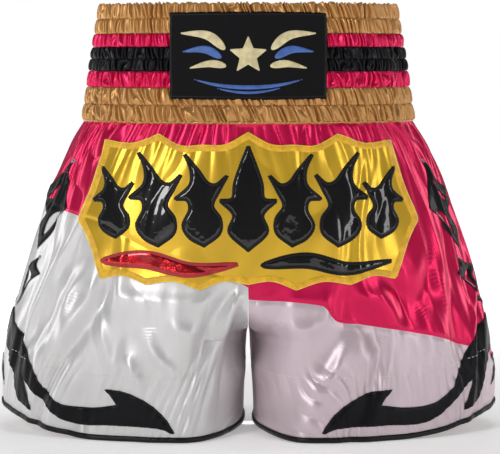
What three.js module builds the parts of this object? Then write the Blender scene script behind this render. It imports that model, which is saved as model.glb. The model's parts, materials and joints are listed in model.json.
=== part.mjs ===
// Thai-boxing shorts, standing as if worn: an eight-row elastic waistband over four two-colour
// satin quarter panels, with faced and bound hems, a sewn front ornament and side trims.
// Millimetres, +Z up. The front faces -Y and +X is the wearer's left. The origin is on the
// ground under the middle of the shorts.
import * as THREE from "three";

// Heights above the ground.
const HEM_SIDE_RISE = 20; // the hem is cut higher at the outside of the thigh
const HEM_INSEAM_RISE = 5;
const CROTCH_HEIGHT = 88;
const FORK_HEIGHT = 32; // above the crotch, where the front and back are smooth again
const BODY_HEIGHT = 274; // top of the panels, where the waistband is sewn on

// Half widths and half depths of the body, from the hem up.
const HEM_HALF_WIDTH = 219;
const FLARE_HALF_WIDTH = 222;
const THIGH_HALF_WIDTH = 213;
const HIP_HALF_WIDTH = 184;
const GATHER_HALF_WIDTH = 161;
const BAND_BOTTOM_HALF_WIDTH = 146;
const BAND_TOP_HALF_WIDTH = 130;
const HEM_HALF_DEPTH = 114;
const HIP_HALF_DEPTH = 109;
const BAND_BOTTOM_HALF_DEPTH = 101;
const BAND_TOP_HALF_DEPTH = 95;
const SQUARENESS = 2.2; // above 2 flattens the front and back of each cross-section
const ROLL_WIDTH = 58; // over which the front and back roll in to the inseam
const LEG_GAP = 9; // between the two inseams at the hem
const CROTCH_GAP = 1.2;

// Cloth thicknesses and sewing clearances.
const SATIN = 1.0;
const SEAM_GAP = 0.4;
const LAYER_GAP = 0.5; // between two layers of cloth that lie on each other
const APPLIQUE = 0.8; // thickness of a sewn-on piece
const ELASTIC = 1.6;

// Waistband strips from the top down, and how many elastic rows each one covers.
const STRIPS = [
  { name: "gold_top", height: 26, rows: 2, material: "gold" },
  { name: "pink_upper", height: 11.5, rows: 1, material: "pink" },
  { name: "black_middle", height: 21, rows: 2, material: "black" },
  { name: "pink_lower", height: 14, rows: 1, material: "pink" },
  { name: "gold_bottom", height: 29.5, rows: 2, material: "gold" },
];
const BAND_HEIGHT = STRIPS.reduce((sum, strip) => sum + strip.height, 0);
const TOTAL_HEIGHT = BODY_HEIGHT + BAND_HEIGHT;
const ROW_MARGIN = 1.5; // from an elastic's edge to the stitching above or below it

const PATCH_WIDTH = 132;
const PATCH_HEIGHT = 74;
const PATCH_DROP = 8; // from the top of the band to the top of the patch
const STAR_RADIUS = 17;
const CARE_LABEL = { width: 30, height: 36, thickness: 0.8 };

const FACING_HEIGHT = 56;
const BINDING_HEIGHT = 4.5;
const BINDING_WALL = 0.9;

const ORNAMENT_HALF_WIDTH = 146;
const ORNAMENT_DROP = 76; // from the top of the panels to the middle of the ornament
const EDGE_STITCH_WIDTH = 5;
const TIP_WIDTH = 0.8; // no appliqué point is cut narrower
const LONGEST_EDGE = 16; // of a flat outline that is bent over the body

// Where the pink upper panels end and the white lower panels begin, as [t, height] with t
// running from the front seam (0) round the outside of the leg (1/2). The back mirrors the front.
const COLOUR_LINE = {
  left: [[0, 124], [0.163, 118], [0.2, 104], [0.234, 101], [0.315, 91], [0.409, 74], [0.5, 59]],
  right: [[0, 134], [0.12, 158], [0.22, 184], [0.3, 193], [0.37, 198], [0.44, 205], [0.5, 215]],
};

const COLUMNS = Math.round(FLARE_HALF_WIDTH / 18); // facets round a quarter panel
// Facets up an upper panel: more of them where the body tapers more.
const UPPER_ROWS = Math.round((FLARE_HALF_WIDTH - BAND_BOTTOM_HALF_WIDTH) / 12);
const SPACING_HEIGHT = 180; // above it the facets no longer crowd at the front seam
const BAND_FACETS = 36;
const FACET_SAG = FLARE_HALF_WIDTH / 122; // how far a flat facet may stand off its curve
const STEP = 0.01; // for slopes, as a share or in mm

const { lerp, clamp, smoothstep } = THREE.MathUtils;

const MATERIALS = {
  pink: { color: 0xd61a55, roughness: 0.32 },
  white: { color: 0xdcd9dc, roughness: 0.32 },
  gold: { color: 0xb9813a, roughness: 0.4 },
  yellow: { color: 0xd9a51c, roughness: 0.38 },
  black: { color: 0x15171a, roughness: 0.5 },
  patent: { color: 0x0b0b0d, roughness: 0.12 },
  red_foil: { color: 0xa80f1c, roughness: 0.18, metalness: 0.6 },
  elastic: { color: 0xe8e4da, roughness: 0.8 },
  lining: { color: 0xe6e2dc, roughness: 0.7 },
  cream: { color: 0xc9bf95, roughness: 0.6 },
  blue: { color: 0x3a63b0, roughness: 0.6 },
};

// ---------------------------------------------------------------- the body's shape

// A smooth curve through [position, value] pairs in rising order.
function through(points, at) {
  const last = points.length - 1;
  const x = clamp(at, points[0][0], points[last][0]);
  let i = 0;
  while (i < last - 1 && x > points[i + 1][0]) i++;
  const slope = (k) => {
    const [a, b] = [Math.max(k - 1, 0), Math.min(k + 1, last)];
    return (points[b][1] - points[a][1]) / (points[b][0] - points[a][0]);
  };
  const [[x0, y0], [x1, y1]] = [points[i], points[i + 1]];
  const width = x1 - x0;
  const s = (x - x0) / width;
  return (
    y0 * (1 + 2 * s) * (1 - s) ** 2 +
    slope(i) * width * s * (1 - s) ** 2 +
    y1 * s * s * (3 - 2 * s) +
    slope(i + 1) * width * s * s * (s - 1)
  );
}

const BODY_WIDTHS = [
  [0, HEM_HALF_WIDTH],
  [0.15 * BODY_HEIGHT, FLARE_HALF_WIDTH],
  [0.35 * BODY_HEIGHT, THIGH_HALF_WIDTH],
  [0.71 * BODY_HEIGHT, HIP_HALF_WIDTH],
  [0.91 * BODY_HEIGHT, GATHER_HALF_WIDTH],
  [BODY_HEIGHT, BAND_BOTTOM_HALF_WIDTH],
];
const BODY_DEPTHS = [
  [0, HEM_HALF_DEPTH],
  [0.71 * BODY_HEIGHT, HIP_HALF_DEPTH],
  [BODY_HEIGHT, BAND_BOTTOM_HALF_DEPTH],
];

const bandShare = (z) => (z - BODY_HEIGHT) / BAND_HEIGHT;

function halfWidth(z) {
  if (z <= BODY_HEIGHT) return through(BODY_WIDTHS, z);
  return lerp(BAND_BOTTOM_HALF_WIDTH, BAND_TOP_HALF_WIDTH, bandShare(z));
}

function halfDepth(z) {
  if (z <= BODY_HEIGHT) return through(BODY_DEPTHS, z);
  return lerp(BAND_BOTTOM_HALF_DEPTH, BAND_TOP_HALF_DEPTH, bandShare(z));
}

// Half the distance between the two halves of the body: none above the crotch.
const halfGap = (z) => (z < CROTCH_HEIGHT ? lerp(LEG_GAP, CROTCH_GAP, z / CROTCH_HEIGHT) / 2 : 0);

// One half of the body at a height: t runs from the front seam (0), round the side (1/2), to the
// back seam (1). Above the fork each half is half an oval. Below it the cloth also rolls in at
// the seams, until it closes into a leg of its own at the crotch.
function section(t, z) {
  const [width, depth, inner] = [halfWidth(z), halfDepth(z), halfGap(z)];
  const m = Math.min(t, 1 - t);
  const bodyX = width * Math.sin(Math.PI * m);
  const legX = lerp(inner, width, (1 - Math.cos(2 * Math.PI * m)) / 2);
  const x = lerp(legX, bodyX, smoothstep(z, CROTCH_HEIGHT, SPACING_HEIGHT));
  const oval = Math.sqrt(Math.max(0, 1 - (x / width) ** SQUARENESS));
  const across = clamp(1 - (x - inner) / ROLL_WIDTH, 0, 1);
  const below = clamp(1 - (z - CROTCH_HEIGHT) / FORK_HEIGHT, 0, 1);
  const roll = Math.sqrt(Math.max(0, 1 - (across * below) ** 2));
  return new THREE.Vector3(x, (t < 0.5 ? -1 : 1) * depth * oval * roll, z);
}

// A point on the left half (side 1) or right half (side -1), lifted off the cloth by offset.
function bodyPoint(side, t, z, offset) {
  const along = section(Math.min(t + STEP, 1), z).sub(section(Math.max(t - STEP, 0), z));
  const up = section(t, z + STEP).sub(section(t, z - STEP));
  const point = section(t, z).addScaledVector(along.cross(up).normalize(), offset);
  return new THREE.Vector3(side * Math.max(point.x, SEAM_GAP / 2), point.y, point.z);
}

// The height of the hem round a leg: lowest in front and behind.
function hemHeight(t) {
  const fromSide = Math.abs(t - 0.5) / 0.5; // 0 at the side, 1 at the inseam
  const sideRise = HEM_SIDE_RISE * (1 - smoothstep(fromSide, 0, 0.45));
  const inseamRise = HEM_INSEAM_RISE * smoothstep(fromSide, 0.7, 1);
  return sideRise + inseamRise;
}

const mirrorT = (t) => Math.min(t, 1 - t);
const colourHeight = (leg, t) => through(COLOUR_LINE[leg], mirrorT(t));

// The position round a half, t, of a point in front of the body at x.
function frontT(x, z) {
  let [low, high] = [0, 0.5];
  for (let i = 0; i < 30; i++) {
    const middle = (low + high) / 2;
    if (section(middle, z).x < Math.abs(x)) low = middle;
    else high = middle;
  }
  return low;
}

const frontPoint = (x, z, offset) =>
  bodyPoint(x < 0 ? -1 : 1, frontT(x, z), z, offset);

// The position round a half, t, of a point at a distance from the side seam towards the front.
const roundT = (forward, z) => frontT(halfWidth(z) * Math.cos(forward / halfDepth(z)), z);

// A point beside the side seam: forward is the distance from the seam towards the front.
function sidePoint(side, forward, z, offset) {
  const t = roundT(forward, z);
  return bodyPoint(side, forward > 0 ? t : 1 - t, z, offset);
}

// ---------------------------------------------------------------- solids

function solidGeometry(points, triangles) {
  let volume = 0;
  const corner = new THREE.Vector3();
  for (const [a, b, c] of triangles)
    volume += corner.copy(points[a]).cross(points[b]).dot(points[c]);
  const facing = volume < 0 ? triangles.map(([a, b, c]) => [a, c, b]) : triangles;
  const geometry = new THREE.BufferGeometry().setFromPoints(points);
  geometry.setIndex(facing.flat());
  return geometry;
}

// A sheet with two faces: place(u, v, face) gives a point, face 0 inside and 1 outside.
function sheet(columns, rows, place, loop = false) {
  const points = [];
  const triangles = [];
  const around = loop ? columns : columns + 1;
  for (let i = 0; i < around; i++)
    for (let j = 0; j <= rows; j++)
      for (const face of [0, 1]) points.push(place(i / columns, j / rows, face));
  const index = (i, j, face) => ((i % around) * (rows + 1) + j) * 2 + face;
  const quad = (a, b, c, d) => triangles.push([a, b, c], [a, c, d]);
  for (let i = 0; i < columns; i++) {
    for (let j = 0; j < rows; j++) {
      quad(index(i, j, 1), index(i + 1, j, 1), index(i + 1, j + 1, 1), index(i, j + 1, 1));
      quad(index(i, j, 0), index(i, j + 1, 0), index(i + 1, j + 1, 0), index(i + 1, j, 0));
    }
    quad(index(i, 0, 0), index(i + 1, 0, 0), index(i + 1, 0, 1), index(i, 0, 1));
    quad(index(i, rows, 1), index(i + 1, rows, 1), index(i + 1, rows, 0), index(i, rows, 0));
  }
  for (let j = 0; !loop && j < rows; j++) {
    quad(index(0, j, 0), index(0, j, 1), index(0, j + 1, 1), index(0, j + 1, 0));
    const end = columns;
    quad(index(end, j, 1), index(end, j, 0), index(end, j + 1, 0), index(end, j + 1, 1));
  }
  return solidGeometry(points, triangles);
}

// A closed loop of one closed section: place(u, corner) gives a point.
function ringOf(columns, corners, place) {
  const points = [];
  const triangles = [];
  for (let i = 0; i < columns; i++)
    for (let k = 0; k < corners; k++) points.push(place(i / columns, k));
  const index = (i, k) => (i % columns) * corners + (k % corners);
  for (let i = 0; i < columns; i++)
    for (let k = 0; k < corners; k++)
      triangles.push(
        [index(i, k), index(i + 1, k), index(i + 1, k + 1)],
        [index(i, k), index(i + 1, k + 1), index(i, k + 1)],
      );
  return solidGeometry(points, triangles);
}

// Splits every long edge of a flat mesh in half, so that it can be bent over the body.
function splitLongEdges(points, triangles) {
  const middles = new Map();
  const middle = (a, b) => {
    if (points[a].distanceTo(points[b]) <= LONGEST_EDGE) return null;
    const key = `${Math.min(a, b)} ${Math.max(a, b)}`;
    if (!middles.has(key)) {
      middles.set(key, points.length);
      points.push(points[a].clone().lerp(points[b], 0.5));
    }
    return middles.get(key);
  };
  return triangles.flatMap((corners) => {
    const loop = corners.flatMap((a, i) => [a, middle(a, corners[(i + 1) % 3])]);
    const cut = loop.filter((_, i) => i % 2 && loop[i] !== null).length;
    if (cut === 0) return [corners];
    if (cut === 3) {
      const [a, ab, b, bc, c, ca] = loop;
      return [[a, ab, ca], [ab, b, bc], [ca, bc, c], [ab, bc, ca]];
    }
    // Start at a split edge whose previous edge is whole, then fan from its middle.
    let start = 1;
    while (loop[start] === null || loop[(start + 4) % 6] !== null) start += 2;
    const fan = [];
    for (let i = 0; i < 6; i++) fan.push(loop[(start + i) % 6]);
    const rim = fan.filter((corner) => corner !== null);
    return rim.slice(2).map((corner, i) => [rim[0], rim[i + 1], corner]);
  });
}

// A piece of cloth cut to a flat outline and laid on the body.
function cutout(outline, place, lift) {
  const flat = outline.map(([x, z]) => new THREE.Vector2(x, z));
  let triangles = THREE.ShapeUtils.triangulateShape(flat, []);
  let before = 0;
  while (before !== triangles.length) {
    before = triangles.length;
    triangles = splitLongEdges(flat, triangles);
  }
  const count = flat.length;
  const points = [0, APPLIQUE].flatMap((rise) => flat.map((p) => place(p.x, p.y, lift + rise)));
  const edges = new Set(triangles.flatMap(([a, b, c]) => [`${a} ${b}`, `${b} ${c}`, `${c} ${a}`]));
  const walls = [];
  for (const edge of edges) {
    const [a, b] = edge.split(" ").map(Number);
    if (!edges.has(`${b} ${a}`)) walls.push([a, b + count, b], [a, a + count, b + count]);
  }
  const outer = triangles.map((triangle) => triangle.map((corner) => corner + count));
  const inner = triangles.map(([a, b, c]) => [a, c, b]);
  const reversedWalls = walls.map(([a, b, c]) => [a, c, b]);
  return solidGeometry(points, [...outer, ...inner, ...reversedWalls]);
}

const shorts = new THREE.Group();

function add(name, geometry, finish) {
  const material = new THREE.MeshStandardMaterial({ metalness: 0, ...MATERIALS[finish] });
  const mesh = new THREE.Mesh(geometry, material);
  mesh.name = name;
  shorts.add(mesh);
}

// ---------------------------------------------------------------- waistband

// A tube of cloth round the waist between two heights and two distances off the body.
function bandTube(low, high, inner, outer) {
  return sheet(
    BAND_FACETS,
    1,
    (u, v, face) => {
      const half = u < 0.5 ? 1 : -1;
      const t = half > 0 ? 2 * u : 2 - 2 * u;
      const point = bodyPoint(half, t, lerp(low, high, v), face ? outer : inner);
      if (t === 0 || t === 1) point.x = 0;
      return point;
    },
    true,
  );
}

const elasticOuter = -SATIN - LAYER_GAP;
const elasticInner = elasticOuter - ELASTIC;
const liningOuter = elasticInner - LAYER_GAP;
const liningInner = liningOuter - SATIN;

function addWaistband() {
  add("waistband_lining", bandTube(BODY_HEIGHT, TOTAL_HEIGHT, liningInner, liningOuter), "lining");
  let top = TOTAL_HEIGHT;
  let row = 0;
  for (const strip of STRIPS) {
    const bottom = top - strip.height;
    const low = strip === STRIPS.at(-1) ? bottom : bottom + SEAM_GAP;
    add(`waistband_${strip.name}`, bandTube(low, top, -SATIN, 0), strip.material);
    const pitch = strip.height / strip.rows;
    for (let i = 0; i < strip.rows; i++) {
      const high = top - i * pitch - ROW_MARGIN;
      const foot = top - (i + 1) * pitch + ROW_MARGIN;
      row += 1;
      add(`elastic_row_${row}`, bandTube(foot, high, elasticInner, elasticOuter), "elastic");
    }
    top = bottom;
  }
}

function addCareLabel() {
  const { width, height, thickness } = CARE_LABEL;
  const label = new THREE.BoxGeometry(width, thickness, height);
  const y = BAND_BOTTOM_HALF_DEPTH + (liningInner + liningOuter) / 2;
  label.translate(0, y, BODY_HEIGHT - SEAM_GAP - height / 2);
  add("care_label", label, "white");
}

// ---------------------------------------------------------------- panels and hems

const seamT = SEAM_GAP / (Math.PI * (HEM_HALF_DEPTH + HEM_HALF_WIDTH / 2));
// The rows of a lower panel crowd together over the fork, where the body changes fastest.
const forkTop = CROTCH_HEIGHT + FORK_HEIGHT;
const ROW_LEVELS = [0, CROTCH_HEIGHT / 2, CROTCH_HEIGHT, CROTCH_HEIGHT + 0.3 * FORK_HEIGHT, forkTop];

function lowerRowHeight(low, high, row) {
  const last = ROW_LEVELS.length;
  if (row === 0) return low;
  const share = Math.min(1, (high - low) / (forkTop + SATIN - low));
  const shortened = (level) => lerp(low, level, share);
  if (row < last) return shortened(ROW_LEVELS[row]);
  return lerp(shortened(forkTop), high, (row - last + 1) / 2);
}

function addPanels(leg, side) {
  const quarters = { front: [0, 0.5], back: [0.5, 1] };
  for (const [quarter, [start, end]] of Object.entries(quarters)) {
    const tAt = (u) => clamp(lerp(start, end, u), start + seamT / 2, end - seamT / 2);
    const upper = sheet(COLUMNS, UPPER_ROWS, (u, v, face) => {
      const t = tAt(u);
      const foot = colourHeight(leg, t) + SEAM_GAP / 2;
      return bodyPoint(side, t, lerp(foot, BODY_HEIGHT - SEAM_GAP, v), face ? 0 : -SATIN);
    });
    add(`${leg}_${quarter}_upper_panel`, upper, "pink");
    const rows = ROW_LEVELS.length + 1;
    const lower = sheet(COLUMNS, rows, (u, v, face) => {
      const t = tAt(u);
      const foot = hemHeight(t) + BINDING_WALL + SEAM_GAP;
      const high = colourHeight(leg, t) - SEAM_GAP / 2;
      const z = lowerRowHeight(foot, high, Math.round(v * rows));
      return bodyPoint(side, t, z, face ? 0 : -SATIN);
    });
    add(`${leg}_${quarter}_lower_panel`, lower, "white");
  }
}

const facingOuter = -SATIN - 2 * LAYER_GAP;
const facingInner = facingOuter - SATIN;

// The wide turn-up sewn inside each hem.
function addFacing(leg, side) {
  const heightAt = (t, row) =>
    row < 2
      ? lowerRowHeight(hemHeight(t) + BINDING_WALL + SEAM_GAP, colourHeight(leg, t), row)
      : hemHeight(t) + FACING_HEIGHT;
  const place = (t, v, face) =>
    bodyPoint(side, t, heightAt(t, Math.round(2 * v)), face ? facingOuter : facingInner);
  const facing = sheet(2 * COLUMNS, 2, place, true);
  add(`${leg}_hem_facing`, facing, "lining");
}

// The binding is a folded tape: a channel, open at the top, round the cut edges of the hem.
function addBinding(leg, side) {
  const outside = LAYER_GAP + BINDING_WALL;
  const inside = facingInner - 2 * LAYER_GAP - BINDING_WALL;
  const corners = [
    [inside, 0],
    [outside, 0],
    [outside, BINDING_HEIGHT],
    [LAYER_GAP, BINDING_HEIGHT],
    [LAYER_GAP, BINDING_WALL],
    [inside + BINDING_WALL, BINDING_WALL],
    [inside + BINDING_WALL, BINDING_HEIGHT],
    [inside, BINDING_HEIGHT],
  ];
  const binding = ringOf(2 * COLUMNS, corners.length, (t, k) => {
    const [offset, rise] = corners[k];
    const point = bodyPoint(side, t, hemHeight(t) + rise, offset);
    point.z = hemHeight(t) + rise; // so that the front and back stretches stand flat
    return point;
  });
  add(`${leg}_hem_binding`, binding, "black");
}

// ---------------------------------------------------------------- sewn-on pieces

// A pointed strip of cloth: path is its middle line, as [across, height] points, and its width
// swells to width at the share peak of its length and narrows to both ends.
function blade({ path, width, peak = 0.5, segments = 10 }, place, lift) {
  const middle = new THREE.SplineCurve(path.map(([x, z]) => new THREE.Vector2(x, z)));
  const power = Math.log(0.5) / Math.log(peak);
  return sheet(segments, 1, (u, v, face) => {
    const at = middle.getPoint(u);
    const along = middle.getTangent(u);
    const swell = Math.sin(Math.PI * u ** power) ** 0.8;
    const reach = (v - 0.5) * Math.max(width * swell, TIP_WIDTH);
    return place(at.x - along.y * reach, at.y + along.x * reach, lift + face * APPLIQUE);
  });
}

// An edge through tips: straight between neighbours, with a sag that points at the middle.
function scallop(tips, sag, share) {
  const at = clamp(Math.abs(share), 0, tips.at(-1)[0]);
  let i = 0;
  while (i < tips.length - 2 && at > tips[i + 1][0]) i++;
  const [[x0, z0], [x1, z1]] = [tips[i], tips[i + 1]];
  const s = (at - x0) / (x1 - x0);
  return lerp(z0, z1, s) - sag * 4 * s * (1 - s);
}

const ornamentZ = BODY_HEIGHT - ORNAMENT_DROP;
// Tips of the backing's edges, as [share of the half width, height above the ornament's middle].
const FIELD_TOP = [[0, 68], [0.27, 57], [0.52, 66], [0.84, 60], [1, -6]];
const FIELD_FOOT = [[0, -61], [0.28, -66], [0.6, -62], [0.87, -58], [1, -10]];
const TIP_SAG = 5;
const fieldTop = (x) => ornamentZ + scallop(FIELD_TOP, TIP_SAG, x / ORNAMENT_HALF_WIDTH);
const fieldFoot = (x) => ornamentZ + scallop(FIELD_FOOT, -TIP_SAG, x / ORNAMENT_HALF_WIDTH);

const fieldLift = 2 * LAYER_GAP;
const motifLift = fieldLift + APPLIQUE + 3 * LAYER_GAP;

// Outlines of the ornament's pieces, as [share of the half width, height]. A flame is drawn about
// its own middle, and only the half of the spear on the wearer's left is given.
const FLAME = [
  [-0.014, -30], [-0.108, -19], [-0.115, -6], [-0.066, 6], [-0.108, 20], [-0.156, 33],
  [-0.09, 25], [-0.032, 27], [0.024, 38], [0.107, 52], [0.066, 38], [0.074, 24], [0.162, 12],
  [0.09, 11], [0.074, 2], [0.115, -12], [0.074, -23],
];
const FLAME_PLACES = {
  inner: { at: 0.27, size: 0.94 },
  middle: { at: 0.54, size: 0.96 },
  outer: { at: 0.79, size: 0.74 },
};
const HALF_SPEAR = [
  [0, -32], [0.108, -17], [0.084, -2], [0.162, 10], [0.09, 12], [0.074, 27], [0, 56],
];
// The sweeps below the flames, as [share of the half width, height].
const WING = { path: [[0.08, -45], [0.34, -41], [0.58, -48.5], [0.84, -43]], width: 10, peak: 0.4 };
const SWOOSH = { path: [[-0.86, -43], [-0.6, -41], [-0.34, -49], [-0.06, -44]], width: 11, peak: 0.4 };

const ornamentPlace = (x, z, offset) => frontPoint(x, ornamentZ + z, offset);
const mirrored = (points) => points.map(([x, z]) => [-x, z]);
const widened = (points) => points.map(([share, z]) => [share * ORNAMENT_HALF_WIDTH, z]);
const standingFlame = ({ at, size }) => FLAME.map(([x, z]) => [at + x * size, z * size]);
const wholeSpear = [...HALF_SPEAR, ...mirrored(HALF_SPEAR.slice(1, -1)).reverse()];

function addOrnament() {
  const reach = ORNAMENT_HALF_WIDTH;
  const field = sheet(36, 4, (u, v, face) => {
    const x = lerp(-reach, reach, u);
    return frontPoint(x, lerp(fieldFoot(x), fieldTop(x), v), fieldLift + face * APPLIQUE);
  });
  add("ornament_field", field, "yellow");
  const edges = { top: [fieldTop, -1], foot: [fieldFoot, 1] };
  for (const [name, [edge, inwards]] of Object.entries(edges)) {
    const inset = EDGE_STITCH_WIDTH * 1.6;
    const stitch = sheet(36, 1, (u, v, face) => {
      const x = lerp(-reach + inset, reach - inset, u);
      const z = edge(x) + inwards * EDGE_STITCH_WIDTH * v;
      return frontPoint(x, z, motifLift + face * APPLIQUE);
    });
    add(`ornament_stitch_${name}`, stitch, "yellow");
  }
  const addMotif = (name, outline) =>
    add(`ornament_${name}`, cutout(widened(outline), ornamentPlace, motifLift), "patent");
  for (const [name, spot] of Object.entries(FLAME_PLACES)) {
    addMotif(`flame_${name}_left`, standingFlame(spot));
    addMotif(`flame_${name}_right`, mirrored(standingFlame(spot)));
  }
  addMotif("spear", wholeSpear);
  const sweep = (motif) => ({ ...motif, path: widened(motif.path) });
  add("ornament_wing", blade(sweep(WING), ornamentPlace, motifLift), "patent");
  add("ornament_swoosh", blade(sweep(SWOOSH), ornamentPlace, motifLift), "red_foil");
}

function addPatch() {
  const top = TOTAL_HEIGHT - PATCH_DROP;
  const middle = top - PATCH_HEIGHT / 2;
  const lift = LAYER_GAP;
  const patch = sheet(12, 1, (u, v, face) => {
    const x = lerp(-PATCH_WIDTH / 2, PATCH_WIDTH / 2, u);
    return frontPoint(x, top - PATCH_HEIGHT * v, lift + face * APPLIQUE);
  });
  add("label_patch", patch, "black");
  const threadLift = lift + APPLIQUE + LAYER_GAP;
  const place = (x, z, offset) => frontPoint(x, middle + z, offset);
  const star = sheet(10, 1, (u, v, face) => {
    const turn = 2 * Math.PI * u + Math.PI / 2;
    const radius = STAR_RADIUS * (Math.round(u * 10) % 2 ? 0.45 : 1) * lerp(0.25, 1, v);
    return place(radius * Math.cos(turn), radius * Math.sin(turn), threadLift + face * APPLIQUE);
  }, true);
  add("label_star", star, "cream");
  const bar = { path: [[22, -2], [36, 5], [56, 3]], width: 9, peak: 0.35, segments: 8 };
  add("label_bar_left", blade(bar, place, threadLift), "blue");
  const mirroredBar = { ...bar, path: mirrored(bar.path) };
  add("label_bar_right", blade(mirroredBar, place, threadLift), "blue");
}

// The long black blade that curves from the side seam along the hem, with a barb on its upper
// edge and a prong below, as [distance round from the side seam, height above the hem].
const HEM_BLADE = [
  [0.4, 85], [44, 72], [63, 50], [70, 36], [85, 27], [103, 27], [118, 31], [111, 44], [122, 42],
  [133, 33], [140.5, 21], [145, 8], [137, 13], [113, 14], [89, 13], [72, 24], [53, 40], [61, 13],
  [48, 16], [31, 47], [0.4, 67],
];
// Trims beside the seam, as [distance from the side seam, height above the ground].
const CLAW = { path: [[6, 66], [10, 52], [24, 38]], width: 7, peak: 0.4, segments: 8 };
const FLAMES = {
  upper: [
    [44, 241], [33, 226], [24, 218], [12, 214], [22, 204], [32, 192], [26, 178], [30, 160],
    [44, 178], [46, 190], [57, 198], [50, 213], [44, 228],
  ],
  lower: [
    [38, 156], [30, 150], [14, 144], [24, 136], [20, 124], [8, 108], [26, 118], [33, 132],
    [44, 140], [36, 147],
  ],
};
const trimLift = LAYER_GAP + FACET_SAG;

function addSideTrims(leg, side) {
  for (const [facing, towards] of [["front", 1], ["back", -1]]) {
    const hemPlace = (forward, rise, offset) => {
      const t = roundT(forward, rise);
      return bodyPoint(side, towards > 0 ? t : 1 - t, hemHeight(t) + rise, offset);
    };
    add(`${leg}_hem_blade_${facing}`, cutout(HEM_BLADE, hemPlace, trimLift), "black");
    const place = (forward, z, offset) => sidePoint(side, towards * forward, z, offset);
    add(`${leg}_claw_${facing}`, blade(CLAW, place, trimLift), "black");
    for (const [name, flame] of Object.entries(FLAMES))
      add(`${leg}_flame_${name}_${facing}`, cutout(flame, place, trimLift), "black");
  }
}

addWaistband();
addCareLabel();
for (const [leg, side] of [["left", 1], ["right", -1]]) {
  addPanels(leg, side);
  addFacing(leg, side);
  addBinding(leg, side);
  addSideTrims(leg, side);
}
addOrnament();
addPatch();

export default shorts;
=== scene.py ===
"""Thai-boxing shorts: the visual model, in metres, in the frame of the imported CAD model."""

import json
import math

import bpy
import numpy as np
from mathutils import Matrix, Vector
from mathutils.geometry import delaunay_2d_cdt

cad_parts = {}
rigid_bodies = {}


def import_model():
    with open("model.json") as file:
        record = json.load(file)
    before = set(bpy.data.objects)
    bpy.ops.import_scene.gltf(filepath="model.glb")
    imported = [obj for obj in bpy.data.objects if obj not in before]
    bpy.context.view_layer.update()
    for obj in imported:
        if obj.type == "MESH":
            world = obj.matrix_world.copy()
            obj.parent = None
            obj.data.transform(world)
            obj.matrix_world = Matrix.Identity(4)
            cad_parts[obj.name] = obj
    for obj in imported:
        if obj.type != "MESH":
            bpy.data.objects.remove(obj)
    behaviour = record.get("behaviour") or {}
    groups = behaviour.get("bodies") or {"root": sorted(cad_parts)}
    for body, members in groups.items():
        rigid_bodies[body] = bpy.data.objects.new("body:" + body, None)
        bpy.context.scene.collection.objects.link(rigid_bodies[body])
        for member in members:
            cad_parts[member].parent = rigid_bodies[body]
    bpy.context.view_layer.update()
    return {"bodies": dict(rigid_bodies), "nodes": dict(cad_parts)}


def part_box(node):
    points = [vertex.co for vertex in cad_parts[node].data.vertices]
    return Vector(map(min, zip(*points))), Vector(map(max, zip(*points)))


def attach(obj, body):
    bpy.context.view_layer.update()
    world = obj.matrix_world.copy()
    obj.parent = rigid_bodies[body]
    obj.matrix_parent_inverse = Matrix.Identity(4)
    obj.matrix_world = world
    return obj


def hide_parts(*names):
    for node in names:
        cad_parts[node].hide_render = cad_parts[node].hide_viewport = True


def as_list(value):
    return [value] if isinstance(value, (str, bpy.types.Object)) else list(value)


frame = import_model()
BODY = next(iter(frame["bodies"]))
MM = 0.001

# -------- camera and light

CAMERA_PLACE = (0.0015, -2.0, 0.33)
AIM = (0.0015, 0, 0.1775)
FRAME_WIDTH = 0.45  # what the picture spans at the middle of the shorts
SENSOR_WIDTH = 36
LIT_POINT = (0, 0, 0.2)
LIGHTS = {  # place, (width, height), power
    "key": ((-1.15, -1.6, 0.9), (0.3, 0.9), 13),
    "fill": ((1.45, -1.25, 0.65), (0.25, 1.1), 5),
    "top": ((0.1, -0.2, 1.7), (0.8, 0.4), 2.5),
    "side_left": ((-1.3, 0.35, 0.5), (0.3, 1.0), 4),
    "side_right": ((1.3, 0.45, 0.6), (0.3, 1.0), 4),
    "back": ((0, 1.6, 1.2), (1.4, 0.6), 8),
}
ROOM_LIGHT, ROOM_LOOK = 0.12, 1.0  # how the white room lights, and looks


def new_object(name, data):
    obj = bpy.data.objects.new(name, data)
    bpy.context.scene.collection.objects.link(obj)
    return obj


def look_at(obj, target):
    obj.rotation_euler = (Vector(target) - obj.location).to_track_quat("-Z", "Y").to_euler()


def make_camera():
    data = bpy.data.cameras.new("camera")
    data.sensor_width = SENSOR_WIDTH
    data.lens = SENSOR_WIDTH * math.dist(CAMERA_PLACE, AIM) / FRAME_WIDTH
    camera = new_object("camera", data)
    camera.location = CAMERA_PLACE
    look_at(camera, AIM)
    bpy.context.scene.camera = camera


def make_lights():
    for name, (place, size, power) in LIGHTS.items():
        data = bpy.data.lights.new(name, "AREA")
        data.shape = "RECTANGLE"
        data.size, data.size_y = size
        data.energy = power
        light = new_object(name, data)
        light.location = place
        look_at(light, LIT_POINT)
    world = bpy.data.worlds.new("studio")
    world.use_nodes = True
    tree = world.node_tree
    background = tree.nodes["Background"]
    background.inputs["Color"].default_value = (1, 1, 1, 1)
    seen = tree.nodes.new("ShaderNodeLightPath").outputs["Is Camera Ray"]
    spread = tree.nodes.new("ShaderNodeMapRange")
    spread.inputs["To Min"].default_value = ROOM_LIGHT
    spread.inputs["To Max"].default_value = ROOM_LOOK
    tree.links.new(seen, spread.inputs["Value"])
    tree.links.new(spread.outputs["Result"], background.inputs["Strength"])
    bpy.context.scene.world = world
    bpy.context.scene.view_settings.view_transform = "Standard"


make_camera()

# -------- the body's shape

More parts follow.
